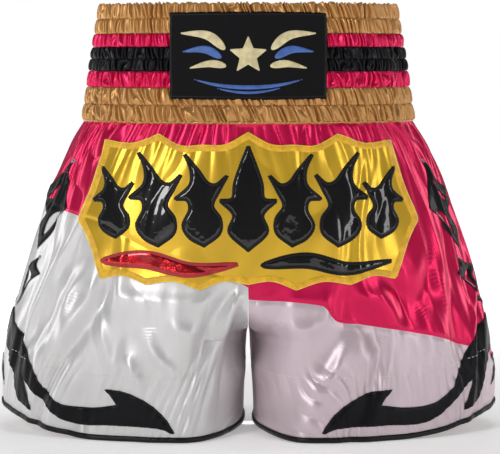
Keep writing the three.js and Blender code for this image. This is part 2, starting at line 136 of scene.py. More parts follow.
HEM_SIDE_RISE = 20 * MM
HEM_INSEAM_RISE = 5 * MM
CROTCH_HEIGHT = 88 * MM
FORK_HEIGHT = 32 * MM  # above the crotch, where the legs' roundness has died out
SPACING_HEIGHT = 180 * MM  # where t is spaced as round the waist
ROLL_WIDTH = 58 * MM  # how far from the inseam a leg turns to face forward
SQUARENESS = 2.2
LEG_GAP, CROTCH_GAP = 9 * MM, 1.2 * MM
GAP_CLOSING = 6 * MM
BAND_FOOT, BAND_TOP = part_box("waistband_gold_bottom"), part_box("waistband_gold_top")
BODY_HEIGHT = BAND_FOOT[0].z + 0.4 * MM
TOTAL_HEIGHT = BAND_TOP[1].z
BAND_HEIGHT = TOTAL_HEIGHT - BODY_HEIGHT
BAND_BOTTOM_HALF = BAND_FOOT[1]
BAND_TOP_HALF = (130 * MM, 95 * MM)
# Half the body's width and depth, as (share of its height, mm).
WIDTHS = [(0, 219), (0.15, 222), (0.35, 213), (0.71, 184), (0.91, 161), (1, 146)]
DEPTHS = [(0, 114), (0.71, 109), (1, 101)]
# The height of each side's colour seam, as (t, mm); t is 0 at the front seam, 0.5 at the side.
COLOUR_LINE = {
    1: [(0, 124), (0.163, 118), (0.2, 104), (0.234, 101), (0.315, 91), (0.409, 74), (0.5, 59)],
    -1: [(0, 134), (0.12, 158), (0.22, 184), (0.3, 193), (0.37, 198), (0.44, 205), (0.5, 215)],
}
SIDES = {"left": 1, "right": -1}


def smoothstep(x, low, high):
    s = np.clip((x - low) / (high - low), 0, 1)
    return s * s * (3 - 2 * s)


def mix(a, b, share):
    return a + (b - a) * share


def unit(v):
    return v / np.maximum(np.linalg.norm(v, axis=-1, keepdims=True), 1e-12)


def sideways(v):
    """Plane vectors turned a quarter left."""
    return np.stack([-v[:, 1], v[:, 0]], -1)


def near(distance, reach):
    """1 at no distance, and almost nothing past twice the reach."""
    return np.exp(-((distance / reach) ** 2))


def through(points, at):
    """A smooth curve through (position, value) pairs in rising order."""
    xs, ys = (np.array(column, float) for column in zip(*points))
    last = len(xs) - 1
    k = np.arange(last + 1)
    before, after = np.maximum(k - 1, 0), np.minimum(k + 1, last)
    slope = (ys[after] - ys[before]) / (xs[after] - xs[before])
    x = np.clip(at, xs[0], xs[-1])
    i = np.clip(np.searchsorted(xs, x, side="left") - 1, 0, last - 1)
    width = xs[i + 1] - xs[i]
    s = (x - xs[i]) / width
    return (
        ys[i] * (1 + 2 * s) * (1 - s) ** 2
        + slope[i] * width * s * (1 - s) ** 2
        + ys[i + 1] * s * s * (3 - 2 * s)
        + slope[i + 1] * width * s * s * (s - 1)
    )


def half_size(z, profile, axis):
    body = through([(h * BODY_HEIGHT, value * MM) for h, value in profile], z)
    band = mix(BAND_BOTTOM_HALF[axis], BAND_TOP_HALF[axis], (z - BODY_HEIGHT) / BAND_HEIGHT)
    return np.where(z <= BODY_HEIGHT, body, band)


def half_width(z):
    return half_size(z, WIDTHS, 0)


def half_depth(z):
    return half_size(z, DEPTHS, 1)


def half_gap(z):
    """Half the gap between the legs, which closes just under the crotch."""
    gap = mix(LEG_GAP, CROTCH_GAP, np.clip(z / CROTCH_HEIGHT, 0, 1)) / 2
    return gap * (1 - smoothstep(z, CROTCH_HEIGHT - GAP_CLOSING, CROTCH_HEIGHT))


def depth_at(x, z):
    """How far the cloth lies in front of the middle plane, at x on the left half."""
    across = np.clip(1 - (x - half_gap(z)) / ROLL_WIDTH, 0, 1)
    below = np.clip(1 - (z - CROTCH_HEIGHT) / FORK_HEIGHT, 0, 1)
    oval = np.sqrt(np.maximum(0, 1 - np.clip(x / half_width(z), 0, 1) ** SQUARENESS))
    return half_depth(z) * oval * np.sqrt(np.maximum(0, 1 - (across * below) ** 2))


def section(t, z):
    """A point of the left half: t runs from the front seam, round the side, to the back seam."""
    m = np.minimum(t, 1 - t)
    body_x = half_width(z) * np.sin(np.pi * m)
    leg_x = mix(half_gap(z), half_width(z), (1 - np.cos(2 * np.pi * m)) / 2)
    x = mix(leg_x, body_x, smoothstep(z, CROTCH_HEIGHT, SPACING_HEIGHT))
    return np.stack([x, np.where(t < 0.5, -1, 1) * depth_at(x, z), z + 0 * x], -1)


def front_t(x, z):
    """The t of the point in front of the body at that distance from the middle."""
    low, high = np.zeros(np.shape(x)), np.full(np.shape(x), 0.5)
    for _ in range(24):
        middle = (low + high) / 2
        short = section(middle, z)[..., 0] < np.abs(x)
        low, high = np.where(short, middle, low), np.where(short, high, middle)
    return (low + high) / 2


def round_t(forward, z):
    """The t of the point at a distance from the side seam towards the front."""
    return front_t(half_width(z) * np.cos(forward / half_depth(z)), z)


def normal(t, z):
    step_t, step_z = 1e-3, 2e-4
    along = section(np.minimum(t + step_t, 1), z) - section(np.maximum(t - step_t, 0), z)
    up = section(t, z + step_z) - section(t, z - step_z)
    return unit(np.cross(along, up))


def hem_height(t):
    from_side = np.abs(t - 0.5) / 0.5
    side_rise = HEM_SIDE_RISE * (1 - smoothstep(from_side, 0, 0.45))
    return side_rise + HEM_INSEAM_RISE * smoothstep(from_side, 0.7, 1)


def colour_height(side, t):
    return through(COLOUR_LINE[side], np.minimum(t, 1 - t)) * MM


# -------- how the cloth hangs

rng = np.random.default_rng(7)


def wave_set(count, low, high):
    """Waves in random directions, from low to high cycles per unit."""
    turn = rng.uniform(0, np.pi, count)
    pace = 2 * np.pi * np.exp(rng.uniform(math.log(low), math.log(high), count))
    return np.cos(turn) * pace, np.sin(turn) * pace, rng.uniform(0, 2 * np.pi, count)


def noise(waves, u, v):
    return sum(np.sin(a * u + b * v + phase) for a, b, phase in zip(*waves)) / len(waves[0]) ** 0.5


def ridges(waves, u, v):
    """Crests with sharp tops and round hollows, about zero."""
    return 0.72 - np.abs(noise(waves, u, v))


WARP = wave_set(9, 0.4, 1.6)
CRINKLE = wave_set(10, 0.5, 1.6)
SWELL = wave_set(9, 0.5, 2.0)
CREASE = wave_set(14, 0.8, 3.0)
RUMPLE = wave_set(12, 0.6, 2.2)
ROUND = 0.4  # the half-loop of the waist seam, which the folds are counted along


def puckers(phase, sharpness=0.75):
    """Rounded ridges with narrow valleys between them, about zero."""
    return np.abs(np.sin(np.pi * phase)) ** sharpness - 0.64


def fold_place(side, x, t, z):
    """Where a fold that fans out from the waist passes, as a distance round the waist seam."""
    share = np.arcsin(np.clip(x / half_width(z), 0, 1)) / np.pi
    share = np.where(t < 0.5, share, 1 - share)
    return side * share * ROUND


ORNAMENT_Z = BODY_HEIGHT - 76 * MM
ORNAMENT_HALF = (150 * MM, 68 * MM)


def on_ornament(side, x, t, z):
    out = (x / ORNAMENT_HALF[0]) ** 4 + ((z - ORNAMENT_Z) / ORNAMENT_HALF[1]) ** 4
    return np.where(t < 0.5, 1 - smoothstep(out, 0.6, 1.7), 0)


def spline(points, count):
    """count points on a smooth curve through the given points."""
    p = np.asarray(points, float)
    p = np.concatenate([2 * p[:1] - p[1:2], p, 2 * p[-1:] - p[-2:-1]])
    spans = len(p) - 3
    u = np.linspace(0, spans, count)
    i = np.minimum(u.astype(int), spans - 1)
    s = (u - i)[:, None]
    a, b, c, d = p[i], p[i + 1], p[i + 2], p[i + 3]
    return 0.5 * (
        2 * b + (c - a) * s + (2 * a - 5 * b + 4 * c - d) * s**2 + (3 * b - a - 3 * c + d) * s**3
    )


# Folds that pull from the crotch and hips, as (leg, height, half width, line), where the line is
# [across, height above the ground] in front and its mirror image behind. All in mm.
PULLS = [
    (-1, 3.2, 6, [(-84, 100), (-82, 80), (-66, 63), (-54, 50)]),
    (-1, 2.4, 5, [(-104, 76), (-98, 60), (-88, 42)]),
    (-1, 2.6, 9, [(-150, 128), (-158, 96), (-160, 62)]),
    (-1, 2.0, 6, [(-20, 104), (-46, 96), (-70, 102)]),
    (-1, 2.0, 5, [(-130, 120), (-126, 90), (-118, 58)]),
    (1, 3.0, 6, [(88, 96), (80, 76), (72, 60), (52, 46)]),
    (1, 2.4, 5, [(116, 92), (104, 66), (100, 44)]),
    (1, 2.4, 8, [(146, 118), (160, 90), (160, 60)]),
    (1, 2.2, 6, [(22, 106), (48, 98), (72, 108)]),
    (1, 2.2, 5, [(150, 190), (162, 150), (176, 112)]),
]


def pulls(side, x, t, z):
    """The height of the listed folds, which fade to nothing at their ends."""
    total = np.zeros(np.broadcast(x, z).shape)
    for leg, height, width, line in PULLS:
        if leg != side:
            continue
        path = spline(line, 24) * MM
        place = np.stack(np.broadcast_arrays(side * x, z), -1)
        gap = np.full(total.shape, np.inf)
        fade = np.zeros(total.shape)
        for k, point in enumerate(path):
            apart = np.linalg.norm(place - point, axis=-1)
            nearer = apart < gap
            gap = np.where(nearer, apart, gap)
            fade = np.where(nearer, math.sin(math.pi * (k + 0.5) / len(path)), fade)
        total = total + height * MM * fade * near(gap, width * MM)
    return total


# Heights of the folds, and their spacing along the waist seam.
FINE_HEIGHT, FINE_SPACING = 2.6 * MM, 9.2 * MM  # just under the waistband
GATHER_HEIGHT, GATHER_SPACING = 5.6 * MM, 23 * MM  # over the upper half
BROAD_HEIGHT, BROAD_SPACING = 3.6 * MM, 70 * MM  # lower down
HEM_HEIGHT, HEM_SPACING = 2.1 * MM, 6.4 * MM  # at the stitching along the hem
RIPPLE_HEIGHT, RIPPLE_SPACING = 0.5 * MM, 8 * MM  # at the colour seam
CRINKLE_HEIGHTS = 0.7 * MM, 2.0 * MM  # of sharp creases, low down and near the waist
CREASE_HEIGHT = 0.35 * MM
RUMPLE_HEIGHT = 0.8 * MM
SEAM_DEPTH, SEAM_REACH = 0.7 * MM, 2.2 * MM
SIDE_SEAM_DEPTH, SIDE_LENGTH = 0.8 * MM, 450 * MM  # the length is that of one leg's half loop
STITCH_BANDS = ((47 * MM, 16 * MM, 1), (14 * MM, 11 * MM, 0.8))  # height above the hem, reach, share


def hem_puckers(side, s, bend, above_hem):
    """Short slanting puckers at the facing's stitching and above the binding."""
    ridge = puckers(s / HEM_SPACING + 1.2 * bend + side * above_hem / 0.03, 0.9)
    size = HEM_HEIGHT * (0.75 + 0.5 * noise(SWELL, s / 0.03, 1.0))
    return ridge * size * sum(share * near(above_hem - at, reach) for at, reach, share in STITCH_BANDS)


def drape(side, t, z):
    """How far the cloth stands out from the smooth body."""
    x = section(t, z)[..., 0]
    s = fold_place(side, x, t, z)
    drop = np.maximum(BODY_HEIGHT - z, 0)
    above_hem = z - hem_height(t)
    line = z - colour_height(side, t)
    bend = noise(WARP, s / 0.06, z / 0.11)
    swell = 1 + 0.45 * noise(SWELL, s / 0.05, z / 0.16)
    flank = 1 - 0.6 * near(t - 0.5, 0.12)
    steady = mix(0.35, 1, smoothstep(above_hem, 0, 0.1)) * flank
    fine = FINE_HEIGHT * puckers(s / FINE_SPACING + 0.5 * bend, 0.7) * np.exp(-drop / 0.026)
    gather = puckers(s / GATHER_SPACING + 0.7 * bend + side * drop / 0.25, 0.8)
    faded = (1 - np.exp(-drop / 0.012)) * np.exp(-((drop / 0.1) ** 1.6))
    gather = GATHER_HEIGHT * gather * swell * faded
    broad = np.sin(2 * np.pi * (s / BROAD_SPACING + 0.5 * bend) + 0.6)
    broad = BROAD_HEIGHT * broad * swell * smoothstep(drop, 0.01, 0.14)
    sharp = mix(*CRINKLE_HEIGHTS, near(drop, 0.12)) * mix(0.5, 1, smoothstep(line, -0.02, 0.005))
    crease = sharp * ridges(CRINKLE, s / 0.03, z / 0.17) * smoothstep(drop, 0, 0.03)
    crease = crease + CREASE_HEIGHT * noise(CREASE, s / 0.022, z / 0.14)
    rumple = RUMPLE_HEIGHT * noise(RUMPLE, s / 0.04, z / 0.12)
    calm = 1 - 0.78 * on_ornament(side, x, t, z)
    total = (gather + broad + crease + rumple) * calm * steady + fine * mix(0.5, 1, flank)
    total = total + pulls(side, x, t, z) * calm
    total = total + hem_puckers(side, s, bend, above_hem) * flank
    ripple = RIPPLE_HEIGHT * puckers(s / RIPPLE_SPACING + bend) * near(line, 0.012)
    total = total + ripple * calm - SEAM_DEPTH * near(line, SEAM_REACH)
    total = total - SIDE_SEAM_DEPTH * near((t - 0.5) * SIDE_LENGTH, SEAM_REACH)
    free = 1 - near(np.minimum(t, 1 - t), 0.035)
    at_waist = smoothstep(drop, 0, 0.004)
    return total * mix(0.15, 1, free) * mix(0.6, 1, at_waist) - 0.8 * MM * (1 - free) * at_waist


def cloth(side, t, z, lift=0.0, hung=True):
    """Points of the hanging cloth on the wearer's left (1) or right (-1), or of its flat pattern."""
    t, z, lift = np.broadcast_arrays(np.asarray(t, float), np.asarray(z, float), lift)
    folds = drape(side, t, z) if hung else 0
    out = (folds + lift)[..., None] * normal(t, z)
    points = section(t, z) + out
    points[..., 0] = side * np.maximum(points[..., 0], 0.05 * MM)
    return points


# -------- meshes


def mesh_of(name, points, faces, material):
    """A smooth mesh from an array of points and an array of faces with equally many corners."""
    points = np.asarray(points, np.float32).reshape(-1, 3)
    faces = np.asarray(faces, np.int32)
    mesh = bpy.data.meshes.new(name)
    mesh.vertices.add(len(points))
    mesh.vertices.foreach_set("co", points.ravel())
    mesh.loops.add(faces.size)
    mesh.loops.foreach_set("vertex_index", faces.ravel())
    mesh.polygons.add(len(faces))
    mesh.polygons.foreach_set("loop_start", np.arange(len(faces)) * faces.shape[1])
    mesh.polygons.foreach_set("use_smooth", np.ones(len(faces), bool))
    mesh.update(calc_edges=True)
    mesh.materials.append(material)
    return mesh


def add_piece(name, points, faces, material, replaces=(), slot=None):
    """A piece of the body. Its slot argument is not used."""
    obj = new_object(name, mesh_of(name, points, faces, material))
    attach(obj, BODY)
    if replaces:
        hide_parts(*replaces)
    slot or material.name.split(".")[0]
    return obj


def grid_faces(rows, columns, loop=False, flip=False, start=0):
    """Quads of a grid of points in row-major order; loop joins the last column to the first."""
    across = columns if loop else columns - 1
    i, j = np.meshgrid(np.arange(rows - 1), np.arange(across), indexing="ij")
    k = (j + 1) % columns
    quads = [i * columns + j, i * columns + k, (i + 1) * columns + k, (i + 1) * columns + j]
    faces = np.stack(quads[::-1] if flip else quads, -1).reshape(-1, 4)
    return faces + start


def joined(parts):
    """Several (points, faces) as one."""
    points, faces, start = [], [], 0
    for p, f in parts:
        p = np.asarray(p).reshape(-1, 3)
        points.append(p)
        faces.append(np.asarray(f) + start)
        start += len(p)
    return np.concatenate(points), np.concatenate(faces)


def cornered(runs, step):
    """A closed outline of smooth runs that meet at corners, as evenly spaced points."""
    line = np.concatenate([spline(run, 40)[:-1] for run in runs])
    line = np.concatenate([line, line[:1]])
    along = np.concatenate([[0], np.cumsum(np.linalg.norm(np.diff(line, axis=0), axis=1))])
    at = np.linspace(0, along[-1], max(8, int(along[-1] / step)), endpoint=False)
    return np.stack([np.interp(at, along, line[:, k]) for k in (0, 1)], -1)


def blade_outline(path, width, peak=0.5, step=0.8 * MM):
    """A pointed strip: path is its middle line, and its width swells and narrows along it."""
    middle = spline(path, 60)
    across = sideways(unit(np.gradient(middle, axis=0)))
    u = np.linspace(0, 1, len(middle))
    power = math.log(0.5) / math.log(peak)
    swell = (np.sin(np.pi * u**power) ** 0.8 * width / 2)[:, None]
    upper, lower = middle + across * swell, middle - across * swell
    return cornered([upper, lower[::-1]], step)


def edge_distance(points, outline):
    """The distance from each point to a closed outline."""
    best = np.full(len(points), np.inf)
    ends = np.roll(outline, -1, axis=0)
    for start in range(0, len(outline), 64):
        a, b = outline[start : start + 64], ends[start : start + 64]
        ab = b - a
        ap = points[:, None] - a[None]
        share = np.clip((ap * ab).sum(-1) / np.maximum((ab * ab).sum(-1), 1e-18), 0, 1)
        gap = np.linalg.norm(ap - share[..., None] * ab, axis=-1).min(1)
        best = np.minimum(best, gap)
    return best


def inside(points, outline):
    """Which points lie inside a closed outline."""
    x, y = points[:, 0], points[:, 1]
    result = np.zeros(len(points), bool)
    ends = np.roll(outline, -1, axis=0)
    for (x0, y0), (x1, y1) in zip(outline, ends):
        if y0 == y1:
            continue
        crosses = (y0 > y) != (y1 > y)
        result ^= crosses & (x < (x1 - x0) * (y - y0) / (y1 - y0) + x0)
    return result


def filled(outline, spacing, holes=()):
    """Triangles that fill an outline but not its holes, and each point's distance from the edge."""
    low, high = outline.min(0), outline.max(0)
    xs = np.arange(low[0], high[0], spacing)
    ys = np.arange(low[1], high[1], spacing * 0.866)
    gx, gy = np.meshgrid(xs, ys)
    gx = gx + (np.arange(len(ys)) % 2)[:, None] * spacing / 2
    inner = np.stack([gx.ravel(), gy.ravel()], -1)
    inner = inner[inside(inner, outline)]
    edges, start = [], 0
    for loop in (outline, *holes):
        count = len(loop)
        edges += [(start + i, start + (i + 1) % count) for i in range(count)]
        start += count
        inner = inner[edge_distance(inner, loop) > spacing * 0.45]
    points = np.concatenate([outline, *holes, inner])
    found = delaunay_2d_cdt([Vector(p) for p in points], edges, [], 1, 1e-7)
    flat = np.array([tuple(v) for v in found[0]])
    faces = np.array(found[2], np.int32)
    gap = edge_distance(flat, outline)
    for hole in holes:
        faces = faces[~inside(flat[faces].mean(1), hole)]
        gap = np.minimum(gap, edge_distance(flat, hole))
    used, faces = np.unique(faces, return_inverse=True)
    return flat[used], faces.reshape(-1, 3), gap[used]


def mesh_area(points, faces):
    a, b, c = (points[faces[:, k]] for k in range(3))
    return float(np.linalg.norm(np.cross(b - a, c - a), axis=1).sum() / 2)


def applique(outline, place, lift, height, roll, spacing, holes=()):
    """A piece laid on the cloth: it rises from its edge over the width roll to its full height."""
    flat, faces, gap = filled(outline, spacing, holes)
    rise = height * np.sqrt(np.clip(1 - (1 - np.clip(gap / roll, 0, 1)) ** 2, 0, 1))
    points = place(flat[:, 0], flat[:, 1], lift + rise)
    a, b, c = (points[faces[:, k]] for k in range(3))
    out = np.cross(b - a, c - a).sum(0)
    middle = points.mean(0)
    if out[0] * middle[0] + out[1] * middle[1] < 0:
        faces = faces[:, ::-1]
    return points, faces, mesh_area(place(flat[:, 0], flat[:, 1], lift, False), faces)


SATIN_PITCH = 1.3 * MM
SATIN_COLUMNS = 7
STITCH_LENGTH, STITCH_GAP = 2.6 * MM, 1.4 * MM
STITCH_SHAPE = ((0, 0.15, 0.5, 0.85, 1), (0.2, 0.8, 1, 0.8, 0.2))  # places along it, sizes there
STITCH_SIDES = 6
NOT_ALONG = (0.3, 0.2, 0.93)  # a direction that no stitch runs in


def satin_stitch(outline, place, lift, width, height):
    """A dense band of thread along a closed line: a low ridge, notched between the threads."""
    across = sideways(unit(np.roll(outline, -1, 0) - np.roll(outline, 1, 0)))
    steps = np.linalg.norm(np.diff(outline, axis=0, prepend=outline[:1]), axis=1)
    thread = np.cumsum(steps) / SATIN_PITCH
    notch = 0.5 + 0.5 * np.cos(2 * np.pi * thread)
    profile = np.linspace(-1, 1, SATIN_COLUMNS)
    reach = profile[None] * (width / 2) * (1 + 0.1 * np.sin(np.pi * thread))[:, None]
    flat = outline[:, None] + across[:, None] * reach[..., None]
    rise = height * np.sqrt(1 - profile**2)[None] * (0.72 + 0.28 * notch)[:, None]
    points = place(flat[..., 0], flat[..., 1], lift + rise)
    faces = grid_faces(SATIN_COLUMNS, len(outline), loop=True)
    return points.transpose(1, 0, 2).reshape(-1, 3), faces


def stitch_row(points, radius):
    """Running stitches along a line of points, as small capsules."""
    steps = np.linalg.norm(np.diff(points, axis=0), axis=1)
    along = np.concatenate([[0], np.cumsum(steps)])
    starts = np.arange(STITCH_GAP, along[-1] - STITCH_LENGTH, STITCH_LENGTH + STITCH_GAP)
    shares, sizes = (np.array(row) for row in STITCH_SHAPE)
    at = starts[:, None] + shares * STITCH_LENGTH
    middle = np.stack([np.interp(at, along, points[:, k]) for k in range(3)], -1)
    ahead = unit(middle[:, -1:] - middle[:, :1])
    side = unit(np.cross(ahead, NOT_ALONG))
    up = np.cross(side, ahead)
    turn = np.linspace(0, 2 * np.pi, STITCH_SIDES, endpoint=False)
    ring = np.cos(turn)[:, None] * side[:, :, None] + np.sin(turn)[:, None] * up[:, :, None]
    solid = middle[:, :, None] + ring * (sizes * radius)[None, :, None, None]
    one = grid_faces(len(shares), STITCH_SIDES, loop=True)
    offsets = np.arange(len(starts)) * len(shares) * STITCH_SIDES
    faces = (one[None] + offsets[:, None, None]).reshape(-1, 4)
    return solid.reshape(-1, 3), faces


# -------- materials


class Paint:
    """A Principled material and short ways to wire it."""

    def __init__(self, name, colour, roughness, **sockets):
        self.colour = colour
        self.material = bpy.data.materials.new(name)
        self.material.use_nodes = True
        self.tree = self.material.node_tree
        self.shader = self.tree.nodes["Principled BSDF"]
        self.shader.inputs["Base Color"].default_value = (*colour, 1)
        self.shader.inputs["Roughness"].default_value = roughness
        for socket, value in sockets.items():
            self.shader.inputs[socket.replace("_", " ")].default_value = value
        self.position = self.node("ShaderNodeTexCoord").outputs["Object"]

    def node(self, kind, **settings):
        made = self.tree.nodes.new(kind)
        for key, value in settings.items():
            setattr(made, key, value)
        return made

    def wire(self, a, b):
        self.tree.links.new(a, b)

    def noise(self, scale, detail, stretch=None):
        texture = self.node("ShaderNodeTexNoise")
        texture.inputs["Scale"].default_value = scale
        texture.inputs["Detail"].default_value = detail
        place = self.position
        if stretch:
            mapping = self.node("ShaderNodeMapping")
            mapping.inputs["Scale"].default_value = stretch
            self.wire(place, mapping.inputs["Vector"])
            place = mapping.outputs["Vector"]
        self.wire(place, texture.inputs["Vector"])
        return texture.outputs["Fac"]

    def wave(self, scale, direction):
        texture = self.node("ShaderNodeTexWave", bands_direction=direction)
        texture.inputs["Scale"].default_value = scale
        self.wire(self.position, texture.inputs["Vector"])
        return texture.outputs["Fac"]

    def mottle(self, value, *stops):
        """Varies the base colour with a value, from two stops of (place, brightness)."""
        ramp = self.node("ShaderNodeValToRGB")
        for element, (place, factor) in zip(ramp.color_ramp.elements, stops):
            element.position = place
            element.color = (*(min(1.0, c * factor) for c in self.colour), 1)
        self.wire(value, ramp.inputs["Fac"])
        self.wire(ramp.outputs["Color"], self.shader.inputs["Base Color"])

    def bump(self, height, strength, distance, under=None):
        bump = self.node("ShaderNodeBump")
        bump.inputs["Strength"].default_value = strength
        bump.inputs["Distance"].default_value = distance
        self.wire(height, bump.inputs["Height"])
        if under is not None:
            self.wire(under, bump.inputs["Normal"])
        self.wire(bump.outputs["Normal"], self.shader.inputs["Normal"])
        return bump.outputs["Normal"]


def satin(name, colour, roughness=0.3, sheen=0.25, dark=0.86, light=1.06, **sockets):
    """Polyester satin: glossy floats, a fine weave and faint slubs."""
    sockets = {"Metallic": 0.55, "Sheen_Weight": sheen, "Sheen_Roughness": 0.35, **sockets}
    paint = Paint(name, colour, roughness, **sockets)
    paint.mottle(paint.noise(9, 4, (1, 1, 0.35)), (0.3, dark), (0.7, light))
    crinkle = paint.bump(paint.noise(60, 5, (1, 1, 0.25)), 0.10, 1.2 * MM)
    streaks = paint.bump(paint.noise(300, 3, (1, 1, 0.05)), 0.22, 0.3 * MM, crinkle)
    weave = paint.bump(paint.wave(420, "Z"), 0.10, 0.15 * MM, streaks)
    paint.bump(paint.noise(900, 2), 0.12, 0.12 * MM, weave)
    return paint.material


def thread(name, colour, roughness=0.45, sheen=0.5, **sockets):
    paint = Paint(name, colour, roughness, Sheen_Weight=sheen, Sheen_Roughness=0.4, **sockets)
    paint.mottle(paint.noise(160, 3), (0.35, 0.8), (0.65, 1.1))
    paint.bump(paint.noise(1300, 2), 0.35, 0.25 * MM)
    return paint.material


def patent(name, colour):
    """Patent vinyl: a soft base under a mirror-like coat that dents a little."""
    paint = Paint(name, colour, 0.3, Specular_IOR_Level=0.1, Coat_Weight=0.9, Coat_Roughness=0.04)
    dents = paint.bump(paint.noise(38, 3), 0.5, 1.6 * MM)
    paint.wire(dents, paint.shader.inputs["Coat Normal"])
    return paint.material


def foil(name, colour):
    paint = Paint(name, colour, 0.2, Metallic=0.85, Coat_Weight=0.6, Coat_Roughness=0.08)
    paint.mottle(paint.noise(90, 4), (0.35, 0.6), (0.7, 1.2))
    paint.bump(paint.noise(110, 4), 0.7, 1.5 * MM)
    return paint.material


def matt_cloth(name, colour, roughness=0.8, **sockets):
    paint = Paint(name, colour, roughness, **sockets)
    paint.mottle(paint.noise(40, 4), (0.3, 0.88), (0.7, 1.04))
    paint.bump(paint.wave(300, "Z"), 0.2, 0.2 * MM, paint.bump(paint.wave(300, "X"), 0.2, 0.2 * MM))
    return paint.material


PINK = satin("pink_satin", (0.70, 0.004, 0.085), 0.29, 0.0)
WHITE = satin("white_satin", (0.71, 0.70, 0.70), 0.37, 0.0, 0.96, 1.02, Metallic=0.35)
# White satin tinted pink: a painted reflection of the pink satin nearby, used for the left leg's white
# panels.
WHITE_WITH_PAINTED_REFLECTION = satin("white_satin_painted_reflection", (0.68, 0.56, 0.61), 0.37, 0.0, 0.96, 1.02, Metallic=0.35)
GOLD = satin("gold_satin", (0.52, 0.26, 0.08), 0.33, 0.0, Metallic=0.5)
BLACK = satin("black_satin", (0.006, 0.0065, 0.008), 0.36, 0.0, Specular_IOR_Level=0.3)
YELLOW = satin("yellow_satin", (0.80, 0.49, 0.035), 0.28, 0.0)
MUSTARD = thread("mustard_thread", (0.84, 0.46, 0.012))
YELLOW_THREAD = thread("yellow_thread", (0.92, 0.66, 0.06))
PINK_THREAD = thread("pink_thread", (0.52, 0.01, 0.09))
RED_THREAD = thread("red_thread", (0.42, 0.008, 0.016))
CREAM = thread("cream_thread", (0.70, 0.60, 0.34))
BLUE = thread("blue_thread", (0.05, 0.13, 0.42))
WHITE_THREAD = thread("white_thread", (0.85, 0.84, 0.83))
BLACK_THREAD = thread("black_thread", (0.004, 0.004, 0.005), 0.5, 0.0, Specular_IOR_Level=0.25)
SILVER = thread("silver_mesh", (0.30, 0.30, 0.32), 0.35)
VINYL = patent("patent_vinyl", (0.004, 0.004, 0.005))
RED_FOIL = foil("red_foil", (0.55, 0.012, 0.02))
LINING = matt_cloth("lining_cloth", (0.74, 0.71, 0.66))
LABEL = matt_cloth("label_cloth", (0.85, 0.84, 0.82))
PATCH = matt_cloth("patch_cloth", (0.006, 0.006, 0.007), 0.85, Specular_IOR_Level=0.15)
BINDING = satin("black_binding", (0.010, 0.010, 0.012), 0.4, 0.1)
ELASTIC = matt_cloth("elastic", (0.72, 0.70, 0.66))

# -------- waistband

BAND_COLUMNS = 2200
BAND_SHARE = (np.arange(BAND_COLUMNS) / BAND_COLUMNS)[None]  # of the way round
ROW_POINTS = 15  # down one gathered row
PLEATS = 148  # round the whole waist
ROW_HEIGHT = 13 * MM
STRIPS = {  # material, elastic rows
    "gold_top": (GOLD, 2), "pink_upper": (PINK, 1), "black_middle": (BLACK, 2),
    "pink_lower": (PINK, 1), "gold_bottom": (GOLD, 2),
}
PLEAT_WARP = [wave_set(7, 0.5, 3.0) for _ in range(8)]
PLEAT_SLANT = (0.5, 0.35, 0.15, 0.1, -0.1, 0.2, 0.75, 0.6)  # pleats leant by over a row
PLEAT_SIZE = [wave_set(7, 0.5, 4.0) for _ in range(8)]
LINING_LIFT = -4.9 * MM
LINING_ROWS = 60
WELT_RADIUS, WELT_HALF_HEIGHT = 2.1 * MM, 1.5 * MM  # the folded lower edge of the band
WELT_ROWS = 9


def smooth_points(side, t, z, lift):
    """Points lifted off the smooth body on the wearer's left (1) or right (-1)."""
    side, t, z, lift = np.broadcast_arrays(side, t, z, lift)
    points = section(t, z) + lift[..., None] * normal(t, z)
    points[..., 0] *= side
    return points


def ring_points(z, lift):
    """Points round the waist, from the front middle by the left side."""
    left = BAND_SHARE < 0.5
    t = np.where(left, 2 * BAND_SHARE, 2 - 2 * BAND_SHARE)
    return smooth_points(np.where(left, 1, -1), t, z, lift)


def pleat(row, z):
    """The gathers of one elastic row, from -1 to 1."""
    turn = 2 * np.pi * BAND_SHARE
    u, v = np.cos(turn) * 3.0, np.sin(turn) * 3.0
    warp = noise(PLEAT_WARP[row], u * 1.6, v * 1.6 + z / 0.05) * 0.5
    slant = PLEAT_SLANT[row] * (z - TOTAL_HEIGHT) / ROW_HEIGHT
    size = 0.85 + 0.35 * noise(PLEAT_SIZE[row], u * 1.5, v * 1.5)
    crest = np.abs(np.sin(np.pi * (PLEATS * BAND_SHARE + warp + slant))) ** 0.75 * 2 - 1.3
    fold = np.sin(2 * np.pi * (PLEATS / 2.6 * BAND_SHARE + 0.8 * warp + 0.6 * slant)) * 0.45
    return size * crest + fold


def strip_points(low, high, row, rows):
    """Points of a strip between two heights, gathered on its elastic rows from the top down."""
    edges = np.linspace(high, low, rows + 1)
    v = np.linspace(0, 1, ROW_POINTS)[:, None]
    bulge = np.sin(np.pi * v) ** 0.45
    bands = []
    for i in range(rows):
        z = mix(edges[i], edges[i + 1], v)
        height = pleat(row + i, z)
        lift = (1.2 + 1.0 * bulge + height * (1.15 + 0.75 * bulge)) * MM
        ruffle = (1 - v) ** 3 * (0.9 * height + 0.2) * MM if row + i == 0 else 0
        bands.append(ring_points(z + ruffle, lift))
    return np.concatenate(bands)


